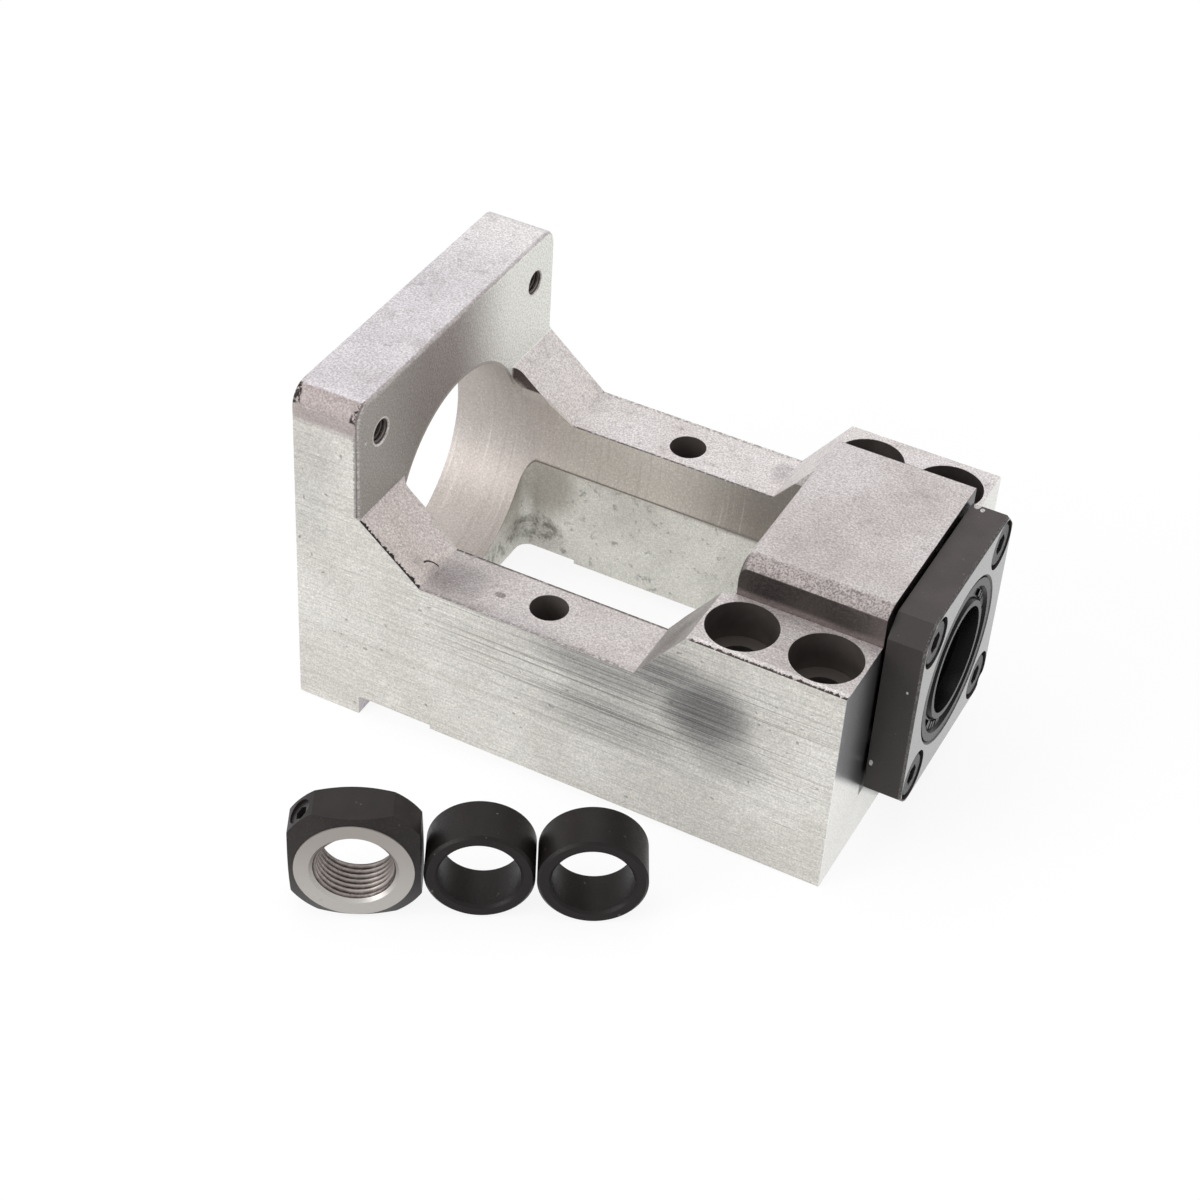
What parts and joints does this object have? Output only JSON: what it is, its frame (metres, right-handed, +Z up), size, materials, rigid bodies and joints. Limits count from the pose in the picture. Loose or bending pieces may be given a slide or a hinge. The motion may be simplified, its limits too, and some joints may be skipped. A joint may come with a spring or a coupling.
{
  "type": "motor bracket",
  "caption": "Cast bracket that joins a stepping motor to a screw shaft, with a coupling chamber and an angular contact bearing housing; its lock nut and spacer collars stand loose beside it.",
  "frame": {"origin": "on the shaft axis at the motor face", "axes": "+X along the shaft from the motor to the bearing cover, +Z up from the base, which lies 25 mm below the axis"},
  "size_m": [0.0969, 0.1022, 0.059],
  "materials": {
    "cast_body": "cast, with milled sides and bored seats",
    "black_steel": "black oxide",
    "screw_steel": "black oxide",
    "seal_rubber": "matt",
    "bearing_steel": "ground and polished",
    "cage_plastic": "moulded",
    "pad_brass": "plain"
  },
  "bodies": {
    "bracket": {"bracket_body": "cast_body", "bearing_cover": "black_steel", "cover_screw_1": "screw_steel", "cover_screw_2": "screw_steel", "cover_screw_3": "screw_steel", "cover_screw_4": "screw_steel", "cover_seal": "seal_rubber", "rear_seal": "seal_rubber", "rear_bearing_outer_ring": "bearing_steel", "front_bearing_outer_ring": "bearing_steel", "lock_nut": "black_steel", "nut_set_screw": "screw_steel", "nut_thread_pad": "pad_brass", "spacer_collar_1": "black_steel", "spacer_collar_2": "black_steel"},
    "rear_inner": {"rear_bearing_inner_ring": "bearing_steel"},
    "front_inner": {"front_bearing_inner_ring": "bearing_steel"},
    "rear_ball_set": {"rear_bearing_cage": "cage_plastic", "rear_bearing_balls": "bearing_steel"},
    "front_ball_set": {"front_bearing_cage": "cage_plastic", "front_bearing_balls": "bearing_steel"}
  },
  "joints": [
    {"name": "rear_inner_spin", "type": "hinge", "parent": "bracket", "child": "rear_inner", "pos_m": [0.0765, 0, 0], "axis": [1, 0, 0], "continuous": true},
    {"name": "front_inner_spin", "type": "hinge", "parent": "bracket", "child": "front_inner", "pos_m": [0.0845, 0, 0], "axis": [1, 0, 0], "continuous": true},
    {"name": "rear_ball_spin", "type": "hinge", "parent": "bracket", "child": "rear_ball_set", "pos_m": [0.0765, 0, 0], "axis": [1, 0, 0], "continuous": true},
    {"name": "front_ball_spin", "type": "hinge", "parent": "bracket", "child": "front_ball_set", "pos_m": [0.0845, 0, 0], "axis": [1, 0, 0], "continuous": true}
  ],
  "couplings": [
    {"joint": "rear_ball_spin", "follows": "rear_inner_spin", "ratio": 0.385},
    {"joint": "front_ball_spin", "follows": "front_inner_spin", "ratio": 0.385}
  ]
}
